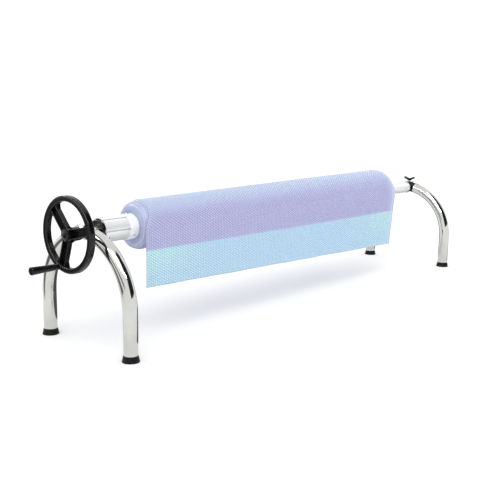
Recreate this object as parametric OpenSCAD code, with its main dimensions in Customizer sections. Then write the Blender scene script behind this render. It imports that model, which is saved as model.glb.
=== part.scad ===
// Pool cover reel: two bent-tube stands, a telescopic axle, a crank wheel and a wound cover.
// +X runs along the axle from the drive stand to the far stand, -Y is the front, +Z is up.
// The origin is on the floor in the middle of the reel.

/* [Overall] */
// Distance between the middles of the two stands
stand_gap = 2570; // [2200:10:3200]
// Height of the axle above the floor
axle_height = 485; // [400:5:600]
// Distance between the two feet of one stand
leg_spread = 540; // [480:10:640]

/* [Stands] */
// Outer diameter of the leg tube
leg_dia = 60; // [50:1:64]
// Wall of the leg tube
leg_wall = 2; // [1.5:0.5:3]
// Downward slope of a leg where it leaves the crown, in degrees
leg_slope = 13; // [9:1:18]
// Half length of the crown between its two legs
crown_half = 40; // [34:1:50]
// Thickness of the black ring between the crown and a leg
ring_thick = 3; // [2:0.5:5]
// Length of the crown spigot inside a leg
spigot_len = 22; // [18:1:24]
// Wall of the crown spigot
spigot_wall = 4; // [3:0.5:6]
// Outer diameter of the crown's bearing boss
boss_dia = 44; // [42:1:50]
// Reach of the drive boss towards the axle
drive_boss_reach = 46; // [38:1:60]
// Reach of every other boss from the middle of its crown
boss_reach = 34; // [33:1:40]

/* [Feet] */
// Height of a rubber foot under its tube
foot_height = 27; // [20:1:40]
// Diameter of a foot at its top
foot_top_dia = 61; // [60:1:66]
// Diameter of a foot on the floor
foot_base_dia = 73; // [68:1:90]
// Length of the foot plug inside the tube
foot_plug_len = 32; // [20:1:50]
// Number of flutes round a foot
foot_flutes = 20; // [12:1:28]

/* [Bearings] */
// Diameter of both axle shafts
shaft_dia = 25; // [20:1:26]
// Outer diameter of a bearing bush
bush_dia = 36; // [32:1:38]
// Length of a bush inside its boss
bush_len = 18; // [12:1:24]
// Diameter of a bush flange
bush_flange_dia = 42; // [40:1:46]
// Thickness of a bush flange
bush_flange_thick = 3; // [2:0.5:4]

/* [Handwheel] */
// Outer diameter of the handwheel
wheel_dia = 316; // [260:2:380]
// Radial width of the rim
rim_width = 24; // [18:1:30]
// Depth of the rim along the axle
rim_depth = 30; // [20:1:34]
// Corner radius of the rim
rim_corner = 7; // [4:0.5:8]
// Distance of the wheel's front face from the middle of the drive stand
wheel_reach = 101; // [94:1:120]
// Diameter of the wheel's hub
hub_dia = 56; // [50:1:70]
// Width of a channel spoke
spoke_width = 42; // [30:1:48]
// Angle of the lowest spoke from the front, in degrees
spoke_start = -108; // [-120:1:-90]
// Number of spokes
spoke_count = 3; // [3:1:5]

/* [Crank grip] */
// Distance from the wheel's edge to the middle of the grip pin
crank_inset = 15; // [12:1:40]
// Length of the revolving grip
grip_len = 130; // [100:1:140]
// Diameter of the grip at the wheel
grip_dia_in = 26; // [24:1:32]
// Diameter of the grip at its free end
grip_dia_out = 34; // [32:1:42]
// Diameter of the grip pin
grip_pin_dia = 12; // [10:1:14]

/* [Axle tubes] */
// Outer diameter of the main axle tube
main_dia = 106; // [88:1:128]
// Wall of the main axle tube
main_wall = 4; // [3:0.5:5]
// Outer diameter of the far axle tube
far_dia = 68; // [60:1:76]
// Wall of the far axle tube
far_wall = 3.5; // [3:0.5:5]
// Number of slots round each tube
slot_count = 6; // [4:1:8]
// Distance from the drive stand to the start of the main tube
main_start = 64; // [64:1:110]
// Length of the far tube inside the main tube
telescope_overlap = 800; // [500:10:1000]
// Distance from the drive stand to the start of the cover collar
collar_start = 190; // [150:1:200]
// Width of the cover collar
collar_width = 46; // [30:1:48]
// Thickness of the cover collar
collar_thick = 2.5; // [2:0.5:4]

/* [Drive flange] */
// Diameter of the black flange on the drive shaft
flange_dia = 90; // [70:1:100]
// Thickness of the black flange
flange_thick = 14; // [8:1:20]
// Diameter of the flange neck
neck_dia = 64; // [50:1:70]
// Length of the plug inside the main tube
plug_len = 50; // [30:1:80]

/* [Cover] */
// Distance from the drive stand to the near end of the roll
roll_near = 240; // [240:1:300]
// Distance from the far end of the roll to the far stand
roll_far = 377; // [360:1:700]
// Roll radius at the drive end
roll_radius_near = 106; // [80:1:130]
// Roll radius at the far end
roll_radius_far = 130; // [90:1:150]
// Length of the rounded shoulder at each roll end
roll_shoulder = 26; // [10:1:40]
// Thickness of the hanging flap
flap_thick = 5; // [3:0.5:8]
// Height of the flap's lower corner at the drive end
flap_low_near = 232; // [150:1:300]
// Height of the flap's lower corner at the far end
flap_low_far = 182; // [150:1:300]
// How far the flap reaches past the roll at the drive end
flap_shift = 14; // [0:1:40]
// How far the flap's lower corner stops short of the roll at the far end
flap_short = 57; // [20:1:90]
// How far the flap stops short of the roll at the far end, where it leaves the roll
flap_short_top = 14; // [0:1:60]

/* [Brake] */
// Width of the wing knob
knob_width = 72; // [60:1:100]
// Diameter of the brake stud
stud_dia = 8; // [6:1:10]
// Travel of the brake pad from released to pressed
pad_travel = 2.4; // [1:0.1:3]
// Diameter of the brake pad
pad_dia = 18; // [14:1:20]

/* [Fits] */
// Gap between fixed pieces that fit in each other
slip = 0.15; // [0.1:0.05:0.3]
// Gap round a shaft that turns in its bush
run = 0.05; // [0.03:0.01:0.1]
// Gap between faces that turn past each other, and of sliding tubes
side_gap = 0.3; // [0.2:0.05:0.5]

/* [Hidden] */
$fn = 96;

steel_colour = [0.80, 0.81, 0.80];
alu_colour = [0.90, 0.91, 0.93];
black_colour = [0.06, 0.06, 0.07];
rubber_colour = [0.09, 0.09, 0.09];
bush_colour = [0.85, 0.85, 0.82];
brass_colour = [0.78, 0.63, 0.32];

// Stand geometry, rounded to a hundredth where pieces of one tube meet
function to_hundredth(x) = round(100 * x) / 100;
leg_r = leg_dia / 2;
leg_bore_r = leg_r - leg_wall;
crown_bend = crown_half / sin(leg_slope);
crown_drop = crown_bend * (1 - cos(leg_slope));
leg_start_y = crown_half + ring_thick * cos(leg_slope);
leg_start_drop = crown_drop + ring_thick * sin(leg_slope);
bend_radius = to_hundredth((leg_spread / 2 - leg_start_y) / (1 - sin(leg_slope)));
bend_y = bend_radius - leg_spread / 2;
bend_z = to_hundredth(axle_height - leg_start_drop - bend_radius * cos(leg_slope));
// The straight spigot is thinner by what the bent leg curves away from it
spigot_r = to_hundredth(leg_bore_r - slip - spigot_len * spigot_len / (2 * bend_radius));
spigot_root = 14;
boss_r = boss_dia / 2;
screw_run = ring_thick + spigot_len / 2;
ring_proud = 0.4;
leg_screw_head = 3.5;
leg_screw_head_r = 7.5;
leg_screw_top_r = 5.5;

flute_r = 2.6;
flute_proud = 0.8;
flute_base = 5;
flute_margin = 11;

// Shafts and bushes
shaft_r = shaft_dia / 2;
bush_r = bush_dia / 2;
bush_hole_r = bush_r + slip;
cross_bore_r = shaft_r + 2.5;
bush_face = boss_reach + bush_flange_thick;
drive_bush_face = drive_boss_reach + bush_flange_thick;

// Handwheel, with depths counted from the middle of the drive stand towards the user
wheel_r = wheel_dia / 2;
crank_radius = wheel_r - crank_inset;
hub_back = bush_face + side_gap;
hub_front = wheel_reach + 1;
rim_mid_r = wheel_r - rim_width / 2;
rim_back = wheel_reach - rim_depth;
hub_r = hub_dia / 2;
shaft_front = hub_front - 10;
recess_depth = 5;
recess_r = 19;
bolt_hole_r = 5.25;
bolt_r = 5;
washer_r = 16;
washer_thick = 2;
web_thick = 4;
web_back = rim_back + 5;
rib_height = 20;
rib_width = 5.5;
grip_angle = spoke_start - 2;
set_screw_depth = 60;
set_screw_angle = 14;
set_screw_r = 4;
set_screw_key = 4.6;
bolt_head = 6.4;
bolt_flats = 17;
bolt_len = 26;
flare_angle = 32;
flare_len = 26;
cap_dome_r = 44;
cap_rim_r = recess_r + 4;

// Crank grip
pin_r = grip_pin_dia / 2;
pin_collar_thick = 3;
grip_start = wheel_reach + pin_collar_thick + side_gap;
grip_end = grip_start + grip_len;
cap_recess_r = 12;
cap_recess_depth = 14;
pin_end = grip_end - cap_recess_depth + side_gap;
rim_bolt_r = 5;
nut_thick = 6;
nut_flats = 17;
pin_collar_r = 10;
grip_edge = 4;
grip_foot = 1.5;
grip_steps = 12;
grip_swell = 1.4;

// Axle tubes, with distances along the axle from the drive stand
roll_start = roll_near;
roll_end = stand_gap - roll_far;
main_end = roll_end + 4;
main_r = main_dia / 2;
main_bore_r = main_r - main_wall;
pad_half = 8;
pad_rise = 5;
pad_flat = main_bore_r - pad_rise;
slot_half = 2.5;
slot_wide_half = 4.5;
slot_lip = 2.6;
slot_depth = 6.2;
far_r = far_dia / 2;
far_bore_r = far_r - far_wall;
far_groove_half = 2;
far_groove_depth = 1.4;
plug_disc_thick = 8;
far_tube_end = stand_gap - bush_face - side_gap - plug_disc_thick;
far_tube_start = main_end - telescope_overlap;
plug_disc_r = far_r + 2;
tube_bush_len = 50;
tube_bush_flange = 4;
slide_bush_len = 60;

// Drive flange
flange_start = drive_bush_face + side_gap;
flange_pin_x = main_start + 34;
flange_pin_r = 3;
tube_screw_x = main_start + 15;
small_screw_r = 3;
small_head_r = 5.5;
small_head_thick = 3;

// Far shaft
far_shaft_start = stand_gap - 95;
far_plug_back = far_tube_end - plug_len;
far_pin_x = far_tube_end - 32;
far_screw_x = far_tube_end - 14;
stop_thick = 10;
stop_r = boss_r - 1;
stop_dome_r = 40;
stop_start = stand_gap + bush_face + side_gap;
far_shaft_end = stop_start + stop_thick + 4;
cap_end = far_shaft_end + 6;

// Brake
pad_bottom = shaft_r + pad_travel + 0.1;
pad_cover = 6;
pad_top = leg_r - pad_cover;
saddle_base = boss_r + side_gap;
saddle_top = leg_r + 7;
saddle_screw_y = 14;
saddle_length = 50;
saddle_width = 40;
saddle_corner = 8;
saddle_screw_r = 2.5;
saddle_head_r = 4.2;
saddle_head = 3;
saddle_lip = 4;
insert_r = 6;
knob_bottom = saddle_top + pad_travel + 0.8;
knob_hub_r = 13;
knob_hub_height = 16;
knob_thick = 14;
wing_lift = 24;
wing_half = 5.5;

// Place of the drive stand, so that the origin is in the middle of the whole length
x_drive = (grip_end - cap_end) / 2;

module at_axle(x) translate([x_drive + x, 0, axle_height]) children();

// Turns a shape drawn along +Z so that it lies along +X
module along_x() rotate([0, 90, 0]) children();

// Turns the wheel's drawing plane so that its +Z points at the user and its +X to the front
module facing_user() rotate([90, 0, -90]) children();

// A bar along the axle from one distance to another
module bar(from, to, r) at_axle(from) along_x() cylinder(h = to - from, r = r);

module ring(from, to, r, bore_r) {
    difference() {
        bar(from, to, r);
        bar(from - 1, to + 1, bore_r);
    }
}

// At the front end of the crown, with +Z pointing out along the leg
module at_joint() translate([0, -crown_half, -crown_drop]) rotate([90 + leg_slope, 0, 0]) children();

module both_sides() {
    children();
    mirror([0, 1, 0]) children();
}

module rounded_bar_section(w, h, r) {
    square([w, h - 2 * r], center = true);
    square([w - 2 * r, h], center = true);
    for (sx = [-1, 1], sy = [-1, 1])
        translate([sx * (w / 2 - r), sy * (h / 2 - r)]) circle(r = r, $fn = 32);
}

// ---- Stand pieces, drawn about the middle of a crown ----

// The crown bends gently from one leg to the other
module crown_skin(extra) {
    translate([0, 0, -crown_bend]) facing_user() rotate([0, 0, 90 - leg_slope])
        rotate_extrude(angle = 2 * leg_slope) translate([crown_bend, 0]) circle(r = leg_r + extra);
}

module crown(axle_side, outer_side) {
    reach = ring_thick + spigot_len;
    difference() {
        union() {
            crown_skin(0);
            translate([-axle_side, 0, 0]) along_x() cylinder(h = axle_side + outer_side, r = boss_r);
            both_sides() at_joint() translate([0, 0, -spigot_root])
                cylinder(h = spigot_root + reach, r = spigot_r);
        }
        both_sides() at_joint() translate([0, 0, -spigot_root])
            cylinder(h = spigot_root + reach + 1, r = spigot_r - spigot_wall);
        translate([-axle_side - 1, 0, 0]) along_x()
            cylinder(h = axle_side + outer_side + 2, r = cross_bore_r);
        translate([-axle_side - 1, 0, 0]) along_x() cylinder(h = bush_len + 1, r = bush_hole_r);
        translate([outer_side - bush_len, 0, 0]) along_x() cylinder(h = bush_len + 1, r = bush_hole_r);
        both_sides() at_joint() translate([0, 0, screw_run]) leg_screw_hole();
    }
}

module leg_screw_hole() rotate([-90, 0, 0]) cylinder(h = 2 * leg_r, r = set_screw_r + slip);

module leg_rings(x) {
    color(black_colour) at_axle(x) both_sides() at_joint()
        difference() {
            cylinder(h = ring_thick, r = leg_r + ring_proud);
            translate([0, 0, -1]) cylinder(h = ring_thick + 2, r = spigot_r + slip);
        }
}

module leg_screws(x) {
    color(steel_colour) at_axle(x) both_sides() at_joint() translate([0, 0, screw_run])
        rotate([-90, 0, 0]) {
            translate([0, 0, spigot_r - spigot_wall])
                cylinder(h = leg_r - spigot_r + spigot_wall + 1, r = set_screw_r);
            translate([0, 0, leg_r])
                cylinder(h = leg_screw_head, r1 = leg_screw_head_r, r2 = leg_screw_top_r);
        }
}

module tube_section() {
    difference() {
        circle(r = leg_r);
        circle(r = leg_bore_r);
    }
}

// Front leg: a bend about the X direction, then an upright stretch down to the foot
module front_leg(x) {
    color(steel_colour) difference() {
        union() {
            translate([x_drive + x, bend_y, bend_z]) facing_user()
                rotate_extrude(angle = 90 - leg_slope) translate([bend_radius, 0]) tube_section();
            translate([x_drive + x, -leg_spread / 2, foot_height])
                linear_extrude(bend_z - foot_height) tube_section();
        }
        at_axle(x) at_joint() translate([0, 0, screw_run]) leg_screw_hole();
    }
}

module foot(x) {
    flute_tilt = atan((foot_base_dia - foot_top_dia) / 2 / foot_height);
    color(rubber_colour) translate([x_drive + x, -leg_spread / 2, 0]) {
        difference() {
            cylinder(h = foot_height, d1 = foot_base_dia, d2 = foot_top_dia);
            for (i = [0 : foot_flutes - 1]) rotate([0, 0, i * 360 / foot_flutes])
                translate([foot_base_dia / 2 + flute_proud, 0, flute_base]) rotate([0, -flute_tilt, 0])
                    cylinder(h = foot_height - flute_margin, r = flute_r, $fn = 24);
        }
        translate([0, 0, foot_height]) cylinder(h = foot_plug_len, r = leg_bore_r - slip);
    }
}

// Flanged bush whose flange faces away from the crown; side is -1 or 1 along the axle
module bush(x, face, side) {
    color(bush_colour) at_axle(x) rotate([0, side * 90, 0]) difference() {
        union() {
            translate([0, 0, face - bush_flange_thick - bush_len + 1]) cylinder(h = bush_len - 1, r = bush_r);
            translate([0, 0, face - bush_flange_thick]) cylinder(h = bush_flange_thick, d = bush_flange_dia);
        }
        cylinder(h = face + 1, r = shaft_r + run);
    }
}

module drive_crown() color(steel_colour) at_axle(0) mirror([1, 0, 0]) crown(drive_boss_reach, boss_reach);
module drive_leg_front() front_leg(0);
module drive_leg_rear() mirror([0, 1, 0]) front_leg(0);
module drive_foot_front() foot(0);
module drive_foot_rear() mirror([0, 1, 0]) foot(0);
module drive_leg_rings() leg_rings(0);
module drive_leg_screws() leg_screws(0);
module drive_bush_wheel() bush(0, bush_face, -1);
module drive_bush_axle() bush(0, drive_bush_face, 1);

module far_crown() {
    color(black_colour) at_axle(stand_gap) difference() {
        crown(boss_reach, boss_reach);
        cylinder(h = 2 * leg_r, d = pad_dia + 0.2);
        for (s = [-1, 1]) translate([0, s * saddle_screw_y, shaft_r + 6])
            cylinder(h = leg_r, r = saddle_screw_r + slip);
    }
}
module far_leg_front() front_leg(stand_gap);
module far_leg_rear() mirror([0, 1, 0]) front_leg(stand_gap);
module far_foot_front() foot(stand_gap);
module far_foot_rear() mirror([0, 1, 0]) foot(stand_gap);
module far_leg_rings() leg_rings(stand_gap);
module far_leg_screws() leg_screws(stand_gap);
module far_bush_axle() bush(stand_gap, bush_face, -1);
module far_bush_outer() bush(stand_gap, bush_face, 1);

// ---- Drive shaft and handwheel ----

module drive_shaft() {
    color(steel_colour) difference() {
        bar(-shaft_front, main_start + plug_len - 5, shaft_r);
        bar(-shaft_front - 1, -shaft_front + bolt_len - 2, bolt_r + slip);
        at_axle(flange_pin_x) translate([0, 0, -main_r]) cylinder(h = main_dia, r = flange_pin_r + slip);
    }
}

module at_wheel(depth) at_axle(0) facing_user() translate([0, 0, depth]) children();

// One channel spoke along the wheel's +X, with a web, two ribs and a flared root at the rim
module spoke() {
    reach = wheel_r - rim_width + 3;
    rib_y = spoke_width / 2 - rib_width / 2;
    translate([hub_r - 6, -spoke_width / 2, web_back]) cube([reach - hub_r + 6, spoke_width, web_thick]);
    for (s = [-1, 1]) {
        translate([hub_r - 6, s * rib_y, web_back + 1]) rotate([90, 0, 90])
            linear_extrude(reach - hub_r + 6) {
                translate([-rib_width / 2, 0]) square([rib_width, rib_height - 1 - rib_width / 2]);
                translate([0, rib_height - 1 - rib_width / 2]) circle(d = rib_width, $fn = 24);
            }
        translate([reach - flare_len, s * (rib_y - 1), web_back]) rotate([0, 0, s * flare_angle])
            linear_extrude(rib_height - 4) translate([0, -rib_width / 2])
                square([flare_len / cos(flare_angle) - 2, rib_width]);
        translate([reach - flare_len, s * (rib_y - 1), web_back]) linear_extrude(web_thick)
            polygon([[0, 0], [flare_len, 0], [flare_len, s * flare_len * tan(flare_angle)]]);
    }
}

module handwheel() {
    color(black_colour) difference() {
        union() {
            at_wheel(wheel_reach - rim_depth / 2) rotate_extrude($fn = 160) translate([rim_mid_r, 0])
                rounded_bar_section(rim_width, rim_depth, rim_corner);
            at_wheel(0) for (i = [0 : spoke_count - 1])
                rotate([0, 0, spoke_start + i * 360 / spoke_count]) spoke();
            at_wheel(hub_back) cylinder(h = hub_front - hub_back, r = hub_r);
            at_wheel(web_back - 2) cylinder(h = web_thick + 4, r1 = hub_r, r2 = hub_r + 7);
        }
        at_wheel(hub_back - 1) cylinder(h = shaft_front - hub_back + 1, r = shaft_r + slip);
        at_wheel(hub_back) cylinder(h = hub_front, r = bolt_hole_r);
        at_wheel(hub_front - recess_depth) cylinder(h = recess_depth + 1, r = recess_r);
        at_wheel(0) rotate([0, 0, grip_angle]) translate([crank_radius, 0, 0])
            cylinder(h = 2 * wheel_reach, r = rim_bolt_r + slip);
        at_wheel(set_screw_depth) rotate([0, 0, set_screw_angle]) along_x()
            cylinder(h = 2 * hub_r, r = set_screw_r + slip);
    }
}

module wheel_washer() {
    color(steel_colour) at_wheel(hub_front - recess_depth) difference() {
        cylinder(h = washer_thick, r = washer_r);
        translate([0, 0, -1]) cylinder(h = washer_thick + 2, r = bolt_r + slip);
    }
}

module wheel_bolt() {
    color(steel_colour) at_wheel(hub_front - recess_depth + washer_thick) {
        cylinder(h = bolt_head, d = bolt_flats / cos(30), $fn = 6);
        translate([0, 0, -bolt_len]) cylinder(h = bolt_len + 0.5, r = bolt_r);
    }
}

// Snap cap: a low dome over the bolt, with a skirt in the hub's recess
module wheel_cap() {
    color(black_colour) at_wheel(hub_front) difference() {
        union() {
            intersection() {
                translate([0, 0, 8 - cap_dome_r]) sphere(r = cap_dome_r);
                cylinder(h = 10, r = cap_rim_r);
            }
            translate([0, 0, -2.5]) cylinder(h = 3, r = recess_r - slip);
        }
        translate([0, 0, -3]) cylinder(h = 7, r = recess_r - 3);
    }
}

module wheel_set_screw() {
    color(steel_colour) at_wheel(set_screw_depth) rotate([0, 0, set_screw_angle]) along_x()
        translate([0, 0, shaft_r]) difference() {
            cylinder(h = hub_r - shaft_r + 3, r = set_screw_r);
            translate([0, 0, hub_r - shaft_r]) cylinder(h = 4, d = set_screw_key, $fn = 6);
        }
}

// ---- Crank grip ----

module at_grip(depth) at_wheel(depth) rotate([0, 0, grip_angle]) translate([crank_radius, 0, 0]) children();

module grip_pin() {
    color(steel_colour) {
        at_grip(rim_back - nut_thick - 4) cylinder(h = rim_depth + nut_thick + 5, r = rim_bolt_r);
        at_grip(wheel_reach) cylinder(h = pin_collar_thick, r = pin_collar_r);
        at_grip(wheel_reach + 1) cylinder(h = pin_end - wheel_reach - 1, r = pin_r);
    }
}

module grip_nut() {
    color(steel_colour) difference() {
        union() {
            at_grip(rim_back - 2) cylinder(h = 2, r = pin_collar_r);
            at_grip(rim_back - 2 - nut_thick) cylinder(h = nut_thick, d = nut_flats / cos(30), $fn = 6);
        }
        at_grip(rim_back - nut_thick - 4) cylinder(h = nut_thick + 8, r = rim_bolt_r + run);
    }
}

module grip_retainer() {
    color(steel_colour) {
        at_grip(pin_end) cylinder(h = 1.5, r = pin_collar_r);
        at_grip(pin_end + 1.5) cylinder(h = 4, r = 6);
    }
}

// Outline radius of the grip: it swells from the wheel to the free end
function grip_radius(t) = grip_dia_in / 2 + (grip_dia_out - grip_dia_in) / 2 * pow(t, grip_swell);

module grip() {
    color(black_colour) difference() {
        at_grip(grip_start) rotate_extrude() polygon(concat(
            [[0, 0], [grip_dia_in / 2 - grip_foot, 0]],
            [for (i = [0 : grip_steps]) let (t = i / grip_steps)
                [grip_radius(t), grip_foot + t * (grip_len - grip_edge - grip_foot)]],
            [for (a = [15 : 15 : 90])
                [grip_dia_out / 2 - grip_edge * (1 - cos(a)), grip_len - grip_edge * (1 - sin(a))]],
            [[0, grip_len]]));
        at_grip(grip_start - 1) cylinder(h = grip_len, r = pin_r + run);
        at_grip(grip_end - cap_recess_depth) cylinder(h = cap_recess_depth + 1, r = cap_recess_r);
    }
}

module grip_end_cap() {
    color(black_colour) at_grip(grip_end - 3) cylinder(h = 3, r = cap_recess_r - slip);
}

// ---- Axle ----

module slots_round(r) for (i = [0 : slot_count - 1]) rotate([0, 0, 90 + i * 360 / slot_count])
    translate([r, 0]) children();

// Section of the main tube: a ring with inner pads, each holding a T-slot that opens outwards
module main_section() {
    difference() {
        union() {
            difference() {
                circle(r = main_r);
                circle(r = main_bore_r);
            }
            slots_round(pad_flat) translate([0, -pad_half]) square([main_r - pad_flat - 2, 2 * pad_half]);
        }
        slots_round(main_r - slot_lip - 0.01) translate([0, -slot_half])
            square([slot_lip + 3, 2 * slot_half]);
        slots_round(main_r - slot_depth) translate([0, -slot_wide_half])
            square([slot_depth - slot_lip, 2 * slot_wide_half]);
    }
}

// Section of anything that fits inside the main tube, between its pads
module main_bore_section(clear) {
    difference() {
        circle(r = main_bore_r - clear);
        slots_round(pad_flat - clear) translate([0, -pad_half - clear])
            square([main_r, 2 * (pad_half + clear)]);
    }
}

module axle_flange() {
    color(black_colour) difference() {
        union() {
            at_axle(flange_start + flange_thick / 2) along_x() rotate_extrude()
                intersection() {
                    rounded_bar_section(flange_dia, flange_thick, 4);
                    translate([0, -flange_thick]) square([flange_dia, 2 * flange_thick]);
                }
            bar(flange_start + flange_thick - 1, main_start, neck_dia / 2);
            at_axle(main_start - 0.01) along_x() linear_extrude(plug_len) main_bore_section(slip);
        }
        bar(flange_start - 1, main_start + plug_len + 1, shaft_r + slip);
        at_axle(flange_pin_x) translate([0, 0, -main_r]) cylinder(h = main_dia, r = flange_pin_r + slip);
        at_axle(tube_screw_x) along_x() tube_screw_places() cylinder(h = main_r, r = small_screw_r + slip);
    }
}

module flange_pin() color(steel_colour) at_axle(flange_pin_x) translate([0, 0, -neck_dia / 2])
    cylinder(h = neck_dia, r = flange_pin_r);

// Three radial places between the slots, with +Z pointing out of the axle
module tube_screw_places() for (i = [0 : 2]) rotate([0, 0, 60 + i * 120]) along_x() children();

module flange_screws() {
    color(steel_colour) at_axle(tube_screw_x) along_x() tube_screw_places() {
        translate([0, 0, main_bore_r - 12]) cylinder(h = main_r - main_bore_r + 12, r = small_screw_r);
        translate([0, 0, main_r]) cylinder(h = small_head_thick, r1 = small_head_r, r2 = small_head_r - 1.5);
    }
}

module main_tube() {
    color(alu_colour) difference() {
        at_axle(main_start) along_x() linear_extrude(main_end - main_start) main_section();
        at_axle(tube_screw_x) along_x() tube_screw_places() cylinder(h = main_dia, r = small_screw_r + slip);
        at_axle(main_end - tube_bush_len / 2) along_x() tube_screw_places()
            cylinder(h = main_dia, r = small_screw_r + slip);
    }
}

// Fixed in the far end of the main tube; the far tube slides through it
module tube_end_bush() {
    color(bush_colour) difference() {
        union() {
            at_axle(main_end - tube_bush_len) along_x()
                linear_extrude(tube_bush_len + 0.01) main_bore_section(slip);
            bar(main_end, main_end + tube_bush_flange, main_r);
        }
        bar(main_end - tube_bush_len - 1, main_end + tube_bush_flange + 1, far_r + side_gap);
    }
}

module cover_collar() {
    color([0.93, 0.94, 0.97]) difference() {
        ring(collar_start, collar_start + collar_width, main_r + slip + collar_thick, main_r + slip);
        at_axle(collar_start + collar_width / 2) along_x() tube_screw_places()
            translate([0, 0, main_r - 2]) cylinder(h = 10, r = small_screw_r + slip);
    }
}

module collar_screws() {
    color([0.45, 0.42, 0.42]) at_axle(collar_start + collar_width / 2) along_x() tube_screw_places() {
        translate([0, 0, main_r + slip]) cylinder(h = collar_thick + 0.5, r = small_screw_r);
        translate([0, 0, main_r + slip + collar_thick]) cylinder(h = 2.5, r1 = 5, r2 = 4);
    }
}

// Strip in the rear slot that holds the inner edge of the cover
module edge_strip() {
    color([0.88, 0.90, 0.95]) at_axle(roll_start + 2) along_x() rotate([0, 0, 90])
        linear_extrude(roll_end - roll_start - 12) {
        translate([main_r - slot_depth + slip, -slot_wide_half + slip])
            square([slot_depth - slot_lip - 2 * slip, 2 * (slot_wide_half - slip)]);
        translate([main_r - slot_lip - 2 * slip, -slot_half + slip])
            square([slot_lip + slip, 2 * (slot_half - slip)]);
    }
}

// Wound cover: a hollow cone with rounded shoulders
module cover_roll() {
    inner = main_r + side_gap;
    far_shoulder = roll_shoulder * 0.7;
    length = roll_end - roll_start;
    near_depth = roll_radius_near - inner;
    far_depth = roll_radius_far - inner;
    color([0.71, 0.73, 0.89]) at_axle(roll_start) along_x() rotate_extrude($fn = 128) polygon(concat(
        [[inner, 0]],
        [for (a = [0 : 15 : 90])
            [inner + near_depth * (0.45 + 0.55 * sin(a)), roll_shoulder * (1 - cos(a))]],
        [for (a = [90 : -15 : 0])
            [inner + far_depth * (0.55 + 0.45 * sin(a)), length - far_shoulder * (1 - cos(a))]],
        [[inner, length]]));
}

// Hanging end of the cover: a sheet tangent to the front of the roll, cut slanted at the bottom
module cover_flap() {
    x0 = roll_start - flap_shift;
    x1 = roll_end - flap_short;
    x_top = roll_end - flap_short_top;
    taper = (roll_radius_far - roll_radius_near) / (roll_end - roll_start);
    y0 = -roll_radius_near + taper * flap_shift - side_gap;
    y1 = -roll_radius_far + taper * flap_short_top - side_gap;
    color([0.73, 0.87, 0.91]) translate([x_drive, 0, 0]) intersection() {
        linear_extrude(axle_height) polygon([
            [x0, y0], [x0, y0 - flap_thick], [x_top, y1 - flap_thick], [x_top, y1]]);
        rotate([90, 0, 0]) translate([0, 0, -roll_radius_far]) linear_extrude(3 * roll_radius_far) polygon([
            [x0 - 1, flap_low_near], [x1, flap_low_far], [x_top, axle_height], [x0 - 1, axle_height]]);
    }
}

// ---- Far tube and shaft ----

module far_section() {
    difference() {
        circle(r = far_r);
        circle(r = far_bore_r);
        slots_round(far_r - far_groove_depth) translate([0, -far_groove_half])
            square([far_groove_depth + 1, 2 * far_groove_half]);
    }
}

module far_tube() {
    color(alu_colour) difference() {
        at_axle(far_tube_start) along_x() linear_extrude(far_tube_end - far_tube_start) far_section();
        at_axle(far_screw_x) along_x() tube_screw_places() cylinder(h = far_r + 1, r = small_screw_r + slip);
    }
}

// Fixed on the inner end of the far tube; it slides in the main tube
module far_slide_bush() {
    color(bush_colour) difference() {
        at_axle(far_tube_start - 4) along_x() linear_extrude(slide_bush_len) main_bore_section(side_gap);
        bar(far_tube_start, far_tube_start + slide_bush_len, far_r + slip);
        bar(far_tube_start - 5, far_tube_start + 1, far_bore_r);
    }
}

module far_plug() {
    color(black_colour) difference() {
        union() {
            bar(far_plug_back, far_tube_end + 0.01, far_bore_r - slip);
            at_axle(far_tube_end + plug_disc_thick / 2) along_x() rotate_extrude()
                intersection() {
                    rounded_bar_section(2 * plug_disc_r, plug_disc_thick, 2);
                    translate([0, -plug_disc_thick]) square([2 * plug_disc_r, 2 * plug_disc_thick]);
                }
        }
        bar(far_plug_back - 1, far_tube_end + plug_disc_thick + 1, shaft_r + slip);
        at_axle(far_pin_x) translate([0, 0, -far_r]) cylinder(h = far_dia, r = flange_pin_r + slip);
        at_axle(far_screw_x) along_x() tube_screw_places() cylinder(h = far_r, r = small_screw_r + slip);
    }
}

module far_plug_screws() {
    color(steel_colour) at_axle(far_screw_x) along_x() tube_screw_places() {
        translate([0, 0, far_bore_r - 10]) cylinder(h = far_r - far_bore_r + 10, r = small_screw_r);
        translate([0, 0, far_r]) cylinder(h = 2.5, r1 = 5, r2 = 3.8);
    }
}

module far_shaft() {
    color(steel_colour) difference() {
        bar(far_shaft_start, far_shaft_end, shaft_r);
        at_axle(far_pin_x) translate([0, 0, -far_r]) cylinder(h = far_dia, r = flange_pin_r + slip);
    }
}

module far_shaft_pin() color(steel_colour) at_axle(far_pin_x) translate([0, 0, -far_bore_r + 1])
    cylinder(h = 2 * far_bore_r - 2, r = flange_pin_r);

module far_shaft_collar() {
    color(black_colour) ring(stop_start, stop_start + stop_thick, stop_r, shaft_r + slip);
}

module far_shaft_cap() {
    color(black_colour) at_axle(stop_start + stop_thick) along_x() difference() {
        intersection() {
            cylinder(h = cap_end - stop_start, r = stop_r);
            translate([0, 0, cap_end - stop_start - stop_thick - stop_dome_r]) sphere(r = stop_dome_r);
        }
        translate([0, 0, -1])
            cylinder(h = far_shaft_end - stop_start - stop_thick + slip + 1, r = shaft_r + slip);
    }
}

// ---- Brake on the far crown ----

module at_brake(z) at_axle(stand_gap) translate([0, 0, z]) children();

module brake_saddle() {
    color(black_colour) difference() {
        at_brake(saddle_base) linear_extrude(saddle_top - saddle_lip - saddle_base)
            rounded_bar_section(saddle_length, saddle_width, saddle_corner);
        at_brake(0) crown_skin(slip);
        at_brake(leg_r - 6) cylinder(h = leg_r, r = insert_r + slip);
        at_brake(0) for (s = [-1, 1]) translate([0, s * saddle_screw_y, 0])
            cylinder(h = 2 * leg_r, r = saddle_screw_r + slip);
    }
}

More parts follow.
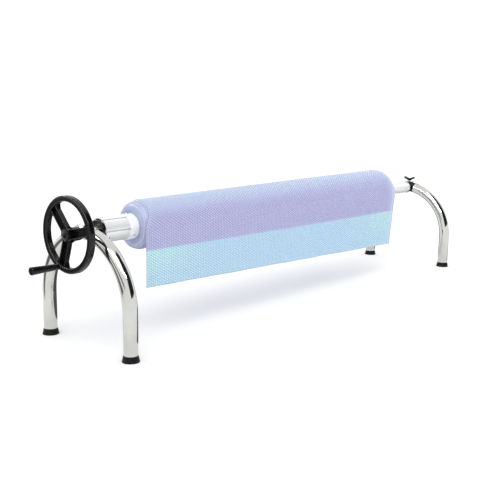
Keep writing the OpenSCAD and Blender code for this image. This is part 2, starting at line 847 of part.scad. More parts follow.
module saddle_screws() {
    color(steel_colour) for (s = [-1, 1]) at_brake(0) translate([0, s * saddle_screw_y, 0]) {
        translate([0, 0, shaft_r + 8])
            cylinder(h = saddle_top - saddle_lip - shaft_r - 8, r = saddle_screw_r);
        translate([0, 0, saddle_top - saddle_lip]) cylinder(h = saddle_head, r = saddle_head_r);
    }
}

module brake_insert() {
    color(brass_colour) at_brake(leg_r - pad_cover + 2) difference() {
        cylinder(h = saddle_top - leg_r + pad_cover - 2, r = insert_r);
        translate([0, 0, -1]) cylinder(h = leg_r, r = stud_dia / 2 + run);
    }
}

module brake_pad() color(rubber_colour) at_brake(pad_bottom) cylinder(h = pad_top - pad_bottom, d = pad_dia);

module brake_stud() color(steel_colour) at_brake(pad_top)
    cylinder(h = knob_bottom + knob_hub_height - 4 - pad_top, d = stud_dia);

// Hub with two raised wings, each a bar with a round tip
module wing_knob() {
    wing_len = (knob_width / 2 - wing_half) / cos(wing_lift);
    color(black_colour) difference() {
        at_brake(knob_bottom) {
            cylinder(h = knob_hub_height, r1 = knob_hub_r, r2 = knob_hub_r - 3);
            both_sides() rotate([90, 0, -90]) translate([0, wing_half, -knob_thick / 2])
                linear_extrude(knob_thick) rotate([0, 0, wing_lift]) {
                    translate([0, -wing_half]) square([wing_len, 2 * wing_half]);
                    translate([wing_len, 0]) circle(r = wing_half, $fn = 32);
                }
        }
        at_brake(knob_bottom - 1) cylinder(h = knob_hub_height - 3, r = stud_dia / 2 + slip);
    }
}

drive_crown();
drive_leg_front();
drive_leg_rear();
drive_foot_front();
drive_foot_rear();
drive_leg_rings();
drive_leg_screws();
drive_bush_wheel();
drive_bush_axle();
drive_shaft();
handwheel();
wheel_washer();
wheel_bolt();
wheel_cap();
wheel_set_screw();
grip_pin();
grip_nut();
grip_retainer();
grip();
grip_end_cap();
axle_flange();
flange_pin();
flange_screws();
main_tube();
tube_end_bush();
cover_collar();
collar_screws();
edge_strip();
cover_roll();
cover_flap();
far_crown();
far_leg_front();
far_leg_rear();
far_foot_front();
far_foot_rear();
far_leg_rings();
far_leg_screws();
far_bush_axle();
far_bush_outer();
brake_saddle();
saddle_screws();
brake_insert();
far_tube();
far_slide_bush();
far_plug();
far_plug_screws();
far_shaft();
far_shaft_pin();
far_shaft_collar();
far_shaft_cap();
brake_pad();
brake_stud();
wing_knob();
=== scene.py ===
# Looks of the pool cover reel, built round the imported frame.
# +X runs along the axle from the handwheel to the far stand, -Y is the front, +Z is up, in metres.
import math

import bpy
import numpy as np
from mathutils import Matrix, Vector


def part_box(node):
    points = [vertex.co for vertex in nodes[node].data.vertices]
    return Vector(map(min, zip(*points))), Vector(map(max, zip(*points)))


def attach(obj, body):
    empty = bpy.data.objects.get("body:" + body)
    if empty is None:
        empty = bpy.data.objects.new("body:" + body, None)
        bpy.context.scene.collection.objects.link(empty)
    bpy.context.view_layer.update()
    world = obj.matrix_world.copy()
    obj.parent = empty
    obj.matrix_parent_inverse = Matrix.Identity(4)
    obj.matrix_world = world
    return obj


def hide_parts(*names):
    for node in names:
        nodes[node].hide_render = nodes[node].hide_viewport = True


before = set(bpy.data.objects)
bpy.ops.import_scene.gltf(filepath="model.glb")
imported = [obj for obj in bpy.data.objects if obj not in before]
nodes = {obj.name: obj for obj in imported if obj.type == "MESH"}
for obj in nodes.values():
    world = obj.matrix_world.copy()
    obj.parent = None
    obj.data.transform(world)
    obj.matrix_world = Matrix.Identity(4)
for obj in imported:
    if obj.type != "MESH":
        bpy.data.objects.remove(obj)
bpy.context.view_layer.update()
print("frame loaded:", len(nodes), "parts")


# Camera, floor and lights
cameraSettings = {
    "place": (-3.1175, -2.565, 1.0334),
    "turn": 48.85,       # degrees from +Y towards +X
    "down": 11.29,       # degrees below level
    "roll": 1.0,         # degrees
    "lens": 56.37,       # mm
    "sensor": 36,        # mm
    "shiftY": 0.00772,
    "reach": 60,         # metres that the camera sees
}


def makeCamera(s):
    # the view's right, up and back directions are the columns of the rotation
    turn, down, roll = (math.radians(s[k]) for k in ("turn", "down", "roll"))
    forward = Vector((math.sin(turn) * math.cos(down),
                      math.cos(turn) * math.cos(down),
                      -math.sin(down)))
    right = Vector((math.cos(turn), -math.sin(turn), 0))
    up = right.cross(forward)
    right, up = (math.cos(roll) * right + math.sin(roll) * up,
                 math.cos(roll) * up - math.sin(roll) * right)
    data = bpy.data.cameras.new("reelCamera")
    data.lens = s["lens"]
    data.sensor_width = s["sensor"]
    data.shift_y = s["shiftY"]
    data.clip_end = s["reach"]
    camera = bpy.data.objects.new("reelCamera", data)
    axes = Matrix((right, up, -forward)).transposed()
    camera.matrix_world = Matrix.Translation(s["place"]) @ axes.to_4x4()
    bpy.context.scene.collection.objects.link(camera)
    bpy.context.scene.camera = camera


makeCamera(cameraSettings)

studioSettings = {
    "surround": 1.15,       # strength of the white surround
    "keyStrength": 0.62,
    "keySoftness": 34,      # degrees
    "keyFrom": (-0.55, -0.50, 1.0),
    "floorSize": 40,
    "floorTone": 0.90,
    "floorRoughness": 0.9,
}


def linkObject(name, data):
    made = bpy.data.objects.new(name, data)
    bpy.context.scene.collection.objects.link(made)
    return made


def stageSheet(name, corners, material):
    # one flat quad from its four corners
    mesh = bpy.data.meshes.new(name)
    mesh.from_pydata(corners, [], [(0, 1, 2, 3)])
    mesh.materials.append(material)
    made = linkObject(name, mesh)
    return made


def plainStageMaterial(name, tone, roughness, glow=0.0):
    made = bpy.data.materials.new(name)
    made.use_nodes = True
    shader = made.node_tree.nodes["Principled BSDF"]
    shader.inputs["Base Color"].default_value = (tone, tone, tone, 1)
    shader.inputs["Roughness"].default_value = roughness
    shader.inputs["Specular IOR Level"].default_value = 0.1
    shader.inputs["Emission Color"].default_value = (1, 1, 1, 1)
    shader.inputs["Emission Strength"].default_value = glow
    return made


def buildStudio(s):
    world = bpy.data.worlds.new("studioSurround")
    world.use_nodes = True
    background = world.node_tree.nodes["Background"]
    background.inputs["Color"].default_value = (1, 1, 1, 1)
    background.inputs["Strength"].default_value = s["surround"]
    bpy.context.scene.world = world
    bpy.context.scene.view_settings.view_transform = "Standard"

    half = s["floorSize"] / 2
    corners = [(-half, -half, 0), (half, -half, 0), (half, half, 0), (-half, half, 0)]
    paint = plainStageMaterial("studioFloorPaint", s["floorTone"], s["floorRoughness"])
    stageSheet("studioFloor", corners, paint)

    key = bpy.data.lights.new("keyLight", "SUN")
    key.energy = s["keyStrength"]
    key.angle = math.radians(s["keySoftness"])
    lamp = linkObject("keyLight", key)
    lamp.rotation_mode = "QUATERNION"
    lamp.rotation_quaternion = Vector(s["keyFrom"]).to_track_quat("Z", "Y")


buildStudio(studioSettings)

# Boards that only glossy surfaces see: dark ones give the steel its bands, glowing ones its highlights
boardSettings = {
    "distance": 5.0,
    "upright": (   # middle and width in degrees from +X to +Y, low and high edge in metres
        {"middle": -72, "width": 78, "low": 0.80, "high": 12.0, "tone": 0.012, "glow": 0.0},
        {"middle": 176, "width": 44, "low": 0.70, "high": 1.20, "tone": 0.10, "glow": 0.0},
        {"middle": 115, "width": 60, "low": 3.2, "high": 3.55, "tone": 0.8, "glow": 16.0},
        {"middle": 175, "width": 60, "low": 3.2, "high": 3.55, "tone": 0.8, "glow": 16.0},
        {"middle": 235, "width": 60, "low": 3.2, "high": 3.55, "tone": 0.8, "glow": 16.0},
    ),
    "ground": (   # near and far corner in metres, tone
        ((-0.95, -0.42), (-0.10, 1.20), 0.10),
        ((1.56, -0.42), (3.60, 1.60), 0.06),
        ((-6.0, 0.55), (-1.75, 4.5), 0.14),
    ),
    "groundHeight": 0.0015,
    "roughness": 0.9,
}


def buildBoards(s):
    made = []
    for number, board in enumerate(s["upright"]):
        halfWidth = board["width"] / 2
        ends = [math.radians(board["middle"] + turn) for turn in (-halfWidth, halfWidth)]
        (x0, y0), (x1, y1) = ((s["distance"] * math.cos(a), s["distance"] * math.sin(a)) for a in ends)
        low, high = board["low"], board["high"]
        corners = [(x0, y0, low), (x1, y1, low), (x1, y1, high), (x0, y0, high)]
        paint = plainStageMaterial(f"boardPaint{number + 1}", board["tone"], s["roughness"], board["glow"])
        made.append(stageSheet(f"glossBoard{number + 1}", corners, paint))
    for number, ((x0, y0), (x1, y1), tone) in enumerate(s["ground"]):
        corners = [(x, y, s["groundHeight"]) for x, y in ((x0, y0), (x1, y0), (x1, y1), (x0, y1))]
        paint = plainStageMaterial(f"groundPaint{number + 1}", tone, s["roughness"])
        made.append(stageSheet(f"glossGround{number + 1}", corners, paint))
    for board in made:
        board.visible_camera = False
        board.visible_diffuse = False
        board.visible_shadow = False
        board.visible_transmission = False


buildBoards(boardSettings)
print("camera, floor and lights ready")


class Paint:
    # a principled material and short calls that add its pattern nodes
    def __init__(self, name, values):
        self.material = bpy.data.materials.new(name)
        self.material.use_nodes = True
        self.tree = self.material.node_tree
        self.shader = self.tree.nodes["Principled BSDF"]
        for socket, value in values.items():
            self.shader.inputs[socket].default_value = value

    def add(self, kind, **settings):
        made = self.tree.nodes.new(kind)
        for key, value in settings.items():
            setattr(made, key, value)
        return made

    def join(self, fromSocket, toSocket):
        self.tree.links.new(fromSocket, toSocket)

    def coordinates(self, scale=(1, 1, 1)):
        # object coordinates, stretched along each direction
        place = self.add("ShaderNodeTexCoord")
        mapping = self.add("ShaderNodeMapping")
        mapping.inputs["Scale"].default_value = scale
        self.join(place.outputs["Object"], mapping.inputs["Vector"])
        return mapping.outputs["Vector"]

    def noise(self, vector, scale, detail=3.0, roughness=0.55):
        made = self.add("ShaderNodeTexNoise")
        made.inputs["Scale"].default_value = scale
        made.inputs["Detail"].default_value = detail
        made.inputs["Roughness"].default_value = roughness
        self.join(vector, made.inputs["Vector"])
        return made.outputs["Fac"]

    def ramp(self, factor, stops):
        # a colour for each place along the factor
        made = self.add("ShaderNodeValToRGB")
        made.color_ramp.interpolation = "EASE"
        points = made.color_ramp.elements
        while len(points) < len(stops):
            points.new(0.5)
        for point, (place, colour) in zip(points, stops):
            point.position = place
            point.color = (*colour, 1)
        self.join(factor, made.inputs["Fac"])
        return made.outputs["Color"]

    def spread(self, factor, low, high):
        # the factor's 0..1 turned into low..high
        made = self.add("ShaderNodeMapRange")
        made.inputs["To Min"].default_value = low
        made.inputs["To Max"].default_value = high
        self.join(factor, made.inputs["Value"])
        return made.outputs["Result"]

    def mix(self, factor, first, second, kind="MIX"):
        made = self.add("ShaderNodeMix", data_type="RGBA", blend_type=kind)
        for socket, value in (("Factor", factor), ("A", first), ("B", second)):
            self.feed(value, next(i for i in made.inputs if i.name == socket and i.enabled))
        return made.outputs["Result"]

    def feed(self, value, socket):
        if isinstance(value, bpy.types.NodeSocket):
            self.join(value, socket)
        elif isinstance(value, (int, float)):
            socket.default_value = value
        else:
            socket.default_value = (*value, 1)

    def colour(self, socket):
        self.join(socket, self.shader.inputs["Base Color"])

    def roughness(self, socket):
        self.join(socket, self.shader.inputs["Roughness"])

    def bump(self, height, strength, distance):
        made = self.add("ShaderNodeBump")
        made.inputs["Strength"].default_value = strength
        made.inputs["Distance"].default_value = distance
        self.join(height, made.inputs["Height"])
        self.join(made.outputs["Normal"], self.shader.inputs["Normal"])


# Plain finishes. Each pattern is noise: stretch along X, Y and Z, scale, detail.
plainFinishes = {
    "polishedSteel": {   # mirror polish, slightly warm, with faint buffing streaks round the tube
        "sockets": {"Metallic": 1.0},
        "cloud": ((1, 1, 1), 9.0, 3.0),
        "colours": [(0.30, (0.54, 0.545, 0.515)), (0.70, (0.62, 0.625, 0.60))],
        "sheen": ((30, 30, 900), 1.0, 2.0),
        "roughness": (0.05, 0.13),
        "relief": ((1, 1, 1), 14.0, 1.0),
        "bump": (0.05, 0.002),
    },
    "satinSteel": {   # turned and plated steel of the shafts, pins and fasteners
        "sockets": {"Metallic": 1.0},
        "cloud": ((1, 1, 1), 60.0, 3.0),
        "colours": [(0.3, (0.60, 0.60, 0.60)), (0.7, (0.76, 0.76, 0.75))],
        "sheen": ((400, 60, 60), 1.0, 3.0),
        "roughness": (0.18, 0.34),
        "relief": ((400, 60, 60), 1.0, 3.0),
        "bump": (0.08, 0.0003),
    },
    "glossBlackPlastic": {   # moulded plastic in deep gloss, very light orange peel, scuffed a little
        "sockets": {"Specular IOR Level": 0.30},
        "cloud": ((1, 1, 1), 22.0, 3.0),
        "colours": [(0.25, (0.002, 0.002, 0.0024)), (0.75, (0.006, 0.006, 0.0065))],
        "sheen": ((1, 1, 1), 130.0, 3.0),
        "roughness": (0.10, 0.20),
        "relief": ((1, 1, 1), 420.0, 1.5),
        "bump": (0.06, 0.0005),
    },
    "footRubber": {   # black rubber with a fine grain
        "sockets": {"Specular IOR Level": 0.14},
        "cloud": ((1, 1, 1), 40.0, 3.0),
        "colours": [(0.3, (0.003, 0.003, 0.003)), (0.7, (0.010, 0.010, 0.0095))],
        "sheen": ((1, 1, 1), 500.0, 2.0),
        "roughness": (0.24, 0.42),
        "relief": ((1, 1, 1), 500.0, 2.0),
        "bump": (0.25, 0.0006),
    },
    "anodisedAluminium": {   # satin extrusion with fine die lines along the axle
        "sockets": {"Metallic": 0.30},
        "cloud": ((3, 700, 700), 1.0, 2.0),
        "colours": [(0.35, (0.70, 0.71, 0.72)), (0.60, (0.86, 0.865, 0.87))],
        "sheen": ((3, 700, 700), 1.0, 2.0),
        "roughness": (0.30, 0.46),
        "relief": ((3, 700, 700), 1.0, 2.0),
        "bump": (0.10, 0.0004),
    },
    "bushPlastic": {   # off-white bearing plastic with a moulded grain
        "sockets": {},
        "cloud": ((1, 1, 1), 70.0, 3.0),
        "colours": [(0.3, (0.72, 0.72, 0.68)), (0.7, (0.83, 0.83, 0.79))],
        "sheen": ((1, 1, 1), 300.0, 3.0),
        "roughness": (0.42, 0.56),
        "relief": ((1, 1, 1), 300.0, 3.0),
        "bump": (0.10, 0.0003),
    },
    "collarPlastic": {   # white plastic of the collar and the edge strip, with faint lines along the axle
        "sockets": {},
        "cloud": ((4, 300, 300), 1.0, 2.0),
        "colours": [(0.3, (0.84, 0.85, 0.89)), (0.7, (0.93, 0.94, 0.97))],
        "sheen": ((4, 300, 300), 1.0, 2.0),
        "roughness": (0.26, 0.38),
        "relief": ((4, 300, 300), 1.0, 2.0),
        "bump": (0.08, 0.0003),
    },
    "brassInsert": {   # dull brass of the threaded insert
        "sockets": {"Metallic": 1.0},
        "cloud": ((1, 1, 1), 120.0, 3.0),
        "colours": [(0.3, (0.36, 0.28, 0.15)), (0.7, (0.50, 0.41, 0.24))],
        "sheen": ((1, 1, 1), 400.0, 3.0),
        "roughness": (0.22, 0.40),
        "relief": ((1, 1, 1), 400.0, 3.0),
        "bump": (0.08, 0.0003),
    },
}


def plainFinish(name, s):
    # colour from the cloud pattern, roughness from the sheen pattern and bump from the relief pattern
    p = Paint(name, s["sockets"])

    def pattern(stretch, scale, detail):
        return p.noise(p.coordinates(stretch), scale, detail)

    p.colour(p.ramp(pattern(*s["cloud"]), s["colours"]))
    p.roughness(p.spread(pattern(*s["sheen"]), *s["roughness"]))
    p.bump(pattern(*s["relief"]), *s["bump"])
    return p.material


# Bubble film of the roll and the flap
filmSettings = {
    "sockets": {"Coat Weight": 0.15, "Coat Roughness": 0.25},
    "cloud": (7.0, 4.0),            # noise scale and detail
    "sheen": 90.0,                  # noise scale
    "roughness": (0.28, 0.44),
    "relief": (160.0, 2.0),         # noise scale and detail
    "bump": (0.15, 0.001),
    # painted light and shade of the bubbles: the film between them darker, their tops paler
    "bubbleLightAndShade": [(0.0, (0.82, 0.82, 0.88)), (0.55, (0.98, 0.98, 1.0)), (1.0, (1.14, 1.14, 1.08))],
}
filmColours = {
    # on the flap the top colour is a painted highlight on the roll's top; the roll uses it only as a cloud
    # tone
    "top": (0.51, 0.59, 0.76),
    # on the flap the front colour is the roll painted as seen through the film; on the roll it is a cloud
    # tone
    "front": (0.448, 0.445, 0.68),
    "low": (0.475, 0.675, 0.81),
    "ends": (0.51, 0.775, 0.79),
    "pale": (0.58, 0.66, 0.82),
}
flapBands = {
    "hangEnd": 0.352,       # on the 0..1 height scale
    "frontStart": 0.382,
    "frontEnd": 0.77,
    "topStart": 0.985,
    "nearFade": 0.22,       # on the 0..1 scale across the flap
    "farFade": 0.72,
    "rimStart": 0.95,
    "rimShare": 0.8,        # how much of the pale colour the far edge takes
    "paleShare": 0.16,      # and how much the cloud gives the rest at most
}


def grey(tone):
    return (tone, tone, tone)


def paintedBubbleLight(p, shade):
    # painted light and shade: bubble tops painted a little paler, as if lit, and the film between them a
    # little darker, as if in shade
    height = p.add("ShaderNodeAttribute", attribute_name="domeHeight").outputs["Fac"]
    return p.mix(1.0, shade, p.ramp(height, filmSettings["bubbleLightAndShade"]), "MULTIPLY")


def filmCloud(p):
    return p.noise(p.coordinates(), *filmSettings["cloud"])


def filmGloss(p):
    # the roughness and the bump that the roll and the flap share
    s = filmSettings
    p.roughness(p.spread(p.noise(p.coordinates(), s["sheen"]), *s["roughness"]))
    p.bump(p.noise(p.coordinates(), *s["relief"]), *s["bump"])


def rollFilm():
    # bubble film in many layers: lavender, cloudy, with the gloss of soft plastic
    p = Paint("rollFilm", filmSettings["sockets"])
    shade = p.ramp(filmCloud(p), [(0.25, filmColours["front"]), (0.75, filmColours["top"])])
    # the bubbles' painted light and shade over the film's colour
    p.colour(paintedBubbleLight(p, shade))
    filmGloss(p)
    return p.material


def flapFilm():
    # one layer of film, painted by height: lavender where the roll is right behind it, painted as the roll
    # seen through the film, turquoise where it hangs free, and paler on the roll's top as a painted
    # highlight
    p = Paint("flapFilm", filmSettings["sockets"])
    tones, at = filmColours, flapBands
    height = p.add("ShaderNodeAttribute", attribute_name="heightOnRoll").outputs["Fac"]
    across = p.add("ShaderNodeAttribute", attribute_name="acrossFlap").outputs["Fac"]
    # painted by height: the roll seen through the film on the front, a painted highlight on the top
    tall = p.ramp(height, [(0.0, tones["low"]), (at["hangEnd"], tones["low"]),
                           (at["frontStart"], tones["front"]), (at["frontEnd"], tones["front"]),
                           (at["topStart"], tones["top"])])

    # more turquoise towards both ends of the free part
    sides = p.ramp(across, [(0.0, grey(1)), (at["nearFade"], grey(0)), (at["farFade"], grey(0)),
                            (1.0, grey(1))])
    free = p.ramp(height, [(0.0, grey(0.2)), (0.15, grey(0.7)), (at["hangEnd"], grey(1)),
                           (at["frontStart"], grey(0))])
    shade = p.mix(p.mix(1.0, sides, free, "MULTIPLY"), tall, tones["ends"])

    # a pale rim along the far edge, then a faint pale cloud over the whole flap
    rim = p.ramp(across, [(0.0, grey(0)), (at["rimStart"], grey(0)), (1.0, grey(at["rimShare"]))])
    shade = p.mix(rim, shade, tones["pale"])
    shade = p.mix(p.spread(filmCloud(p), 0.0, at["paleShare"]), shade, tones["pale"])
    # the bubbles' painted light and shade over the film's colour
    p.colour(paintedBubbleLight(p, shade))
    filmGloss(p)
    return p.material


paints = {name: plainFinish(name, s) for name, s in plainFinishes.items()}
paints["rollFilm"] = rollFilm()
paints["flapFilm"] = flapFilm()

# Which parts of the frame wear which finish
finishOf = {
    "polishedSteel": ["drive_crown", "drive_leg_front", "drive_leg_rear", "far_leg_front", "far_leg_rear"],
    "satinSteel": ["drive_leg_screws", "drive_shaft", "wheel_washer", "wheel_bolt", "wheel_set_screw",
                   "grip_pin", "grip_nut", "grip_retainer", "flange_pin", "flange_screws", "collar_screws",
                   "far_leg_screws", "saddle_screws", "far_plug_screws", "far_shaft", "far_shaft_pin",
                   "brake_stud"],
    "glossBlackPlastic": ["drive_leg_rings", "handwheel", "wheel_cap", "grip", "grip_end_cap", "axle_flange",
                          "far_leg_rings", "far_crown", "brake_saddle", "far_plug", "far_shaft_collar",
                          "far_shaft_cap", "wing_knob"],
    "footRubber": ["drive_foot_front", "drive_foot_rear", "far_foot_front", "far_foot_rear", "brake_pad"],
    "anodisedAluminium": ["main_tube", "far_tube"],
    "bushPlastic": ["drive_bush_wheel", "drive_bush_axle", "far_bush_axle", "far_bush_outer",
                    "tube_end_bush", "far_slide_bush"],
    "collarPlastic": ["cover_collar", "edge_strip"],
    "brassInsert": ["brake_insert"],
}
for finish, names in finishOf.items():
    for name in names:
        nodes[name].data.materials.clear()
        nodes[name].data.materials.append(paints[finish])
print("materials ready:", len(paints))


def gridQuads(rows, columns, closedRows=False, closedColumns=False):
    # quads between neighbouring points of a rows x columns grid; a closed direction joins end to start
    row = np.arange(rows if closedRows else rows - 1)[:, None]
    column = np.arange(columns if closedColumns else columns - 1)[None, :]
    nextRow, nextColumn = (row + 1) % rows, (column + 1) % columns
    corners = [row * columns + column, row * columns + nextColumn,
               nextRow * columns + nextColumn, nextRow * columns + column]
    return np.stack(corners, -1).reshape(-1, 4)


def enclosedVolume(points, quads):
    # sum of the signed tetrahedra between the origin and each half of each quad
    a, b, c, d = (points[quads[:, i]] for i in range(4))
    return float((a * (np.cross(b, c) + np.cross(c, d))).sum() / 6)


def makePiece(name, points, quads, paint, attributes=None):
    # a closed film mesh of quads, turned so that its faces point outwards; dome height is 0 off the bubbles
    points = np.asarray(points, float).reshape(-1, 3)
    if enclosedVolume(points - points.mean(0), quads) < 0:
        quads = quads[:, ::-1]
    mesh = bpy.data.meshes.new(name)
    mesh.vertices.add(len(points))
    mesh.vertices.foreach_set("co", points.astype(np.float32).ravel())
    mesh.loops.add(quads.size)
    mesh.loops.foreach_set("vertex_index", quads.astype(np.int32).ravel())
    mesh.polygons.add(len(quads))
    mesh.polygons.foreach_set("loop_start", np.arange(0, quads.size, 4, dtype=np.int32))
    mesh.polygons.foreach_set("use_smooth", np.ones(len(quads), bool))
    mesh.update(calc_edges=True)
    mesh.validate()
    for key, values in {"domeHeight": np.zeros(len(points)), **(attributes or {})}.items():
        layer = mesh.attributes.new(key, "FLOAT", "POINT")
        layer.data.foreach_set("value", np.asarray(values, np.float32).ravel())
    mesh.materials.append(paints[paint])
    return linkObject(name, mesh)


# Bubbles of the film
bubbleSettings = {
    "pitch": 0.012,
    "radius": 0.0050,
    "height": 0.0030,
    "sunk": 0.0004,         # the rim stands this far below the film's face
    "sides": 6,
    "rings": ((1.0, 0.0), (0.84, 0.62), (0.42, 1.0)),   # shares of the radius and of the height
}
rowStep = math.sqrt(0.75)   # distance between the lattice's rows, in pitches


def bubbleShape(s):
    # a low dome: three rings of points that narrow with height, its bottom and top closed by two quads each
    turn = np.arange(s["sides"]) * 2 * math.pi / s["sides"]
    widths, shares = zip(*s["rings"])
    ringZ = (-s["sunk"], *(share * s["height"] for share in shares[1:]))
    points = [np.stack([width * s["radius"] * np.cos(turn), width * s["radius"] * np.sin(turn),
                        np.full(s["sides"], z)], -1) for width, z in zip(widths, ringZ)]
    quads = gridQuads(3, s["sides"], closedColumns=True)
    top = 2 * s["sides"]
    ends = np.array([[0, 3, 2, 1], [0, 5, 4, 3],
                     [top, top + 1, top + 2, top + 3], [top, top + 3, top + 4, top + 5]])
    heights = np.repeat(shares, s["sides"])
    return np.concatenate(points), np.concatenate([quads, ends]), heights


def latticePlaces(width, length, pitch):
    # rows of a hexagonal lattice: every second row is shifted by half a pitch
    rows, columns = int(length / (pitch * rowStep)), int(width / pitch)
    row, column = np.meshgrid(np.arange(rows), np.arange(columns), indexing="ij")
    return ((column + 0.5 * (row % 2)) * pitch).ravel(), (row * pitch * rowStep).ravel()


def makeBubbles(name, surface, u, v, paint, attributes=None, size=1.0):
    # the dome repeated at surface(u, v), standing on the surface's own normal, each scaled by its size
    shape, quads, heights = bubbleShape(bubbleSettings)
    step = 1e-4
    centre = surface(u, v)
    along = surface(u + step, v) - surface(u - step, v)
    along /= np.linalg.norm(along, axis=1, keepdims=True)
    normal = np.cross(along, surface(u, v + step) - surface(u, v - step))
    normal /= np.linalg.norm(normal, axis=1, keepdims=True)
    side = np.cross(normal, along)
    dome = shape[None] * (size * np.ones(len(u)))[:, None, None]
    points = (centre[:, None] + dome[..., 0:1] * along[:, None] + dome[..., 1:2] * side[:, None]
              + dome[..., 2:3] * normal[:, None])
    allQuads = quads[None] + len(shape) * np.arange(len(u))[:, None, None]
    spread = {key: np.repeat(values, len(shape)) for key, values in (attributes or {}).items()}
    spread["domeHeight"] = np.tile(heights, len(u))
    return makePiece(name, points, allQuads.reshape(-1, 4), paint, spread)


# Wound roll
rollLow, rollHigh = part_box("cover_roll")
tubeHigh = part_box("main_tube")[1]
flapLow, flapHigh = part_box("cover_flap")
rollSettings = {
    "axis": (rollLow.z + rollHigh.z) / 2,
    "start": rollLow.x,
    "end": rollHigh.x,
    "nearRadius": 0.106,
    "farRadius": (rollHigh.z - rollLow.z) / 2,
    "boreRadius": tubeHigh.y + 0.0005,   # half a millimetre clear of the tube
    "filmDrop": 0.0044,     # the film lies this far inside the roll's full radius, so bubbles stay in it
    "wave": 0.0007,
    "layerPitch": 0.0052,
    "layerDepth": 0.0030,
    "nearShoulder": {"length": 0.030, "drop": 0.026},
    "farShoulder": {"length": 0.016, "drop": 0.020},
    "steps": ((0.064, 0.0012), (0.046, 0.0014), (0.030, 0.0014)),   # distance from the far end, drop
    "stepSoftness": 0.0012,
    "around": 160,          # points around the axle
    "shoulderRings": 7,
    "plainRings": 150,
    "steppedRings": 60,
    "plainEnd": 0.070,      # the film's plain rings end this far from its far edge
    "steppedStart": 0.069,  # and the closer rings over the steps start here
    "faceRings": (52, 72),  # near and far end face
    "firstRow": 0.008,      # from the film's near edge to its first row of bubbles
    "bareEnd": 0.060,       # no bubbles on this last stretch of the film
    "shoulderArc": 1.48,    # the shoulder's rows cover this many mean half axes of its quarter ellipse
    "shoulderBubble": 0.94,
}

# Hanging flap
flapSettings = {
    "start": flapLow.x,
    "end": flapHigh.x,
    "lowNear": 0.232,
    "lowFar": 0.182,
    "wrap": math.radians(112),     # how far the film still lies on the roll, from the front over the top
    "gap": 0.0008,                 # between the roll's full radius and the film's back
    "filmThick": 0.0011,
    "wave": 0.0022,
    "topInset": 0.050,             # the near edge runs this far inwards along the wrapped stretch
    "cornerInset": 0.043,          # the far edge runs this far inwards down to its lower corner
    # both side edges bend down onto the roll: each drop stays clear of the roll's waves in the room
    # that the film drop, the gap and, at the far end, the steps leave, but not of the roll's bubbles
    "lipWidth": 0.014,
    "lipDrop": 0.0042,
    "farLipWidth": 0.050,
    "farLipDrop": 0.0078,
    "lipFade": 0.5,                # radians over which the lips fade out towards the front
    "shadeLow": -1.9,              # the shade scale starts at this height, in radii from the axle
    "shadeSpan": 3.0,              # and covers this many radii
    "shadeTilt": 0.09,             # the scale is this much lower at the near end, in radii
    "points": (200, 90),           # across and down
}


def fullRadius(x):
    # straight taper from the near radius to the far radius
    s = rollSettings
    share = (x - s["start"]) / (s["end"] - s["start"])
    return s["nearRadius"] + (s["farRadius"] - s["nearRadius"]) * share


def rollSurface(x, angle):
    # the taper less the film drop, gentle waves along and around, and a soft step at each layer's far edge
    s = rollSettings
    radius = fullRadius(x) - s["filmDrop"]
    radius = radius + s["wave"] * np.sin(26 * x + 2.0 * np.sin(angle)) * np.cos(3 * angle + 4 * x)
    for distance, drop in s["steps"]:
        radius = radius - drop * (1 + np.tanh((x - s["end"] + distance) / s["stepSoftness"])) / 2
    return np.stack([x + 0 * angle, -radius * np.cos(angle), s["axis"] + radius * np.sin(angle)], -1)


def shoulderSurface(bend, angle):
    # the near shoulder: a quarter ellipse from the film's edge, bend 0, down to the end face, a quarter turn
    s, shoulder = rollSettings, rollSettings["nearShoulder"]
    edge = rollSurface(s["start"] + shoulder["length"], angle)
    radius = np.hypot(edge[..., 1], edge[..., 2] - s["axis"]) - shoulder["drop"] * (1 - np.cos(bend))
    x = s["start"] + shoulder["length"] * (1 - np.sin(bend))
    return np.stack([x + 0 * angle, -radius * np.cos(angle), s["axis"] + radius * np.sin(angle)], -1)


def buildRoll(s):
    # a closed profile carried round the axle: spiral near end, shoulder, film, shoulder, spiral far end,
    # then back along the bore
    angle = np.arange(s["around"]) * 2 * math.pi / s["around"]
    bend = np.linspace(0, math.pi / 2, s["shoulderRings"])
    filmStart = s["start"] + s["nearShoulder"]["length"]
    filmEnd = s["end"] - s["farShoulder"]["length"]
    plain = np.linspace(filmStart, filmEnd - s["plainEnd"], s["plainRings"])
    stepped = np.linspace(filmEnd - s["steppedStart"], filmEnd, s["steppedRings"])
    middle = np.concatenate([plain, stepped])
    film = rollSurface(middle[:, None], angle[None, :])
    turns = angle[None, :] / (2 * math.pi)

    def endFace(x, edge, shoulder, out, count):
        # rounded shoulder, then ridges that spiral inwards, one for each layer, fading out at rim and bore
        outer = np.hypot(edge[:, 1], edge[:, 2] - s["axis"])[None, :]
        roundX = x + out * shoulder["length"] * (np.sin(bend)[:, None] - 1)
        roundR = outer - shoulder["drop"] * (1 - np.cos(bend))[:, None]
        inward = np.linspace(0, 1, count)[1:, None]
        faceR = roundR[-1:] + (s["boreRadius"] - roundR[-1:]) * inward
        phase = (faceR - s["boreRadius"]) / s["layerPitch"] + out * turns
        ridge = np.abs(np.sin(math.pi * phase)) ** 0.7
        ease = np.minimum(1, 8 * inward) * np.minimum(1, 8 * (1 - inward) + 0.2)
        faceX = x - out * s["layerDepth"] * (1 - ridge) * ease
        allX = np.concatenate([roundX[1:] + 0 * roundR[1:], faceX])
        allR = np.concatenate([roundR[1:], faceR])
        return np.stack([allX, -allR * np.cos(angle), s["axis"] + allR * np.sin(angle)], -1)

    near = endFace(s["start"], film[0], s["nearShoulder"], -1, s["faceRings"][0])
    far = endFace(s["end"], film[-1], s["farShoulder"], 1, s["faceRings"][1])
    points = np.concatenate([near[::-1], film, far])
    return makePiece("coverRoll", points, gridQuads(len(points), s["around"], True, True), "rollFilm")


coverRoll = buildRoll(rollSettings)
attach(coverRoll, "axle")
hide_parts("cover_roll")


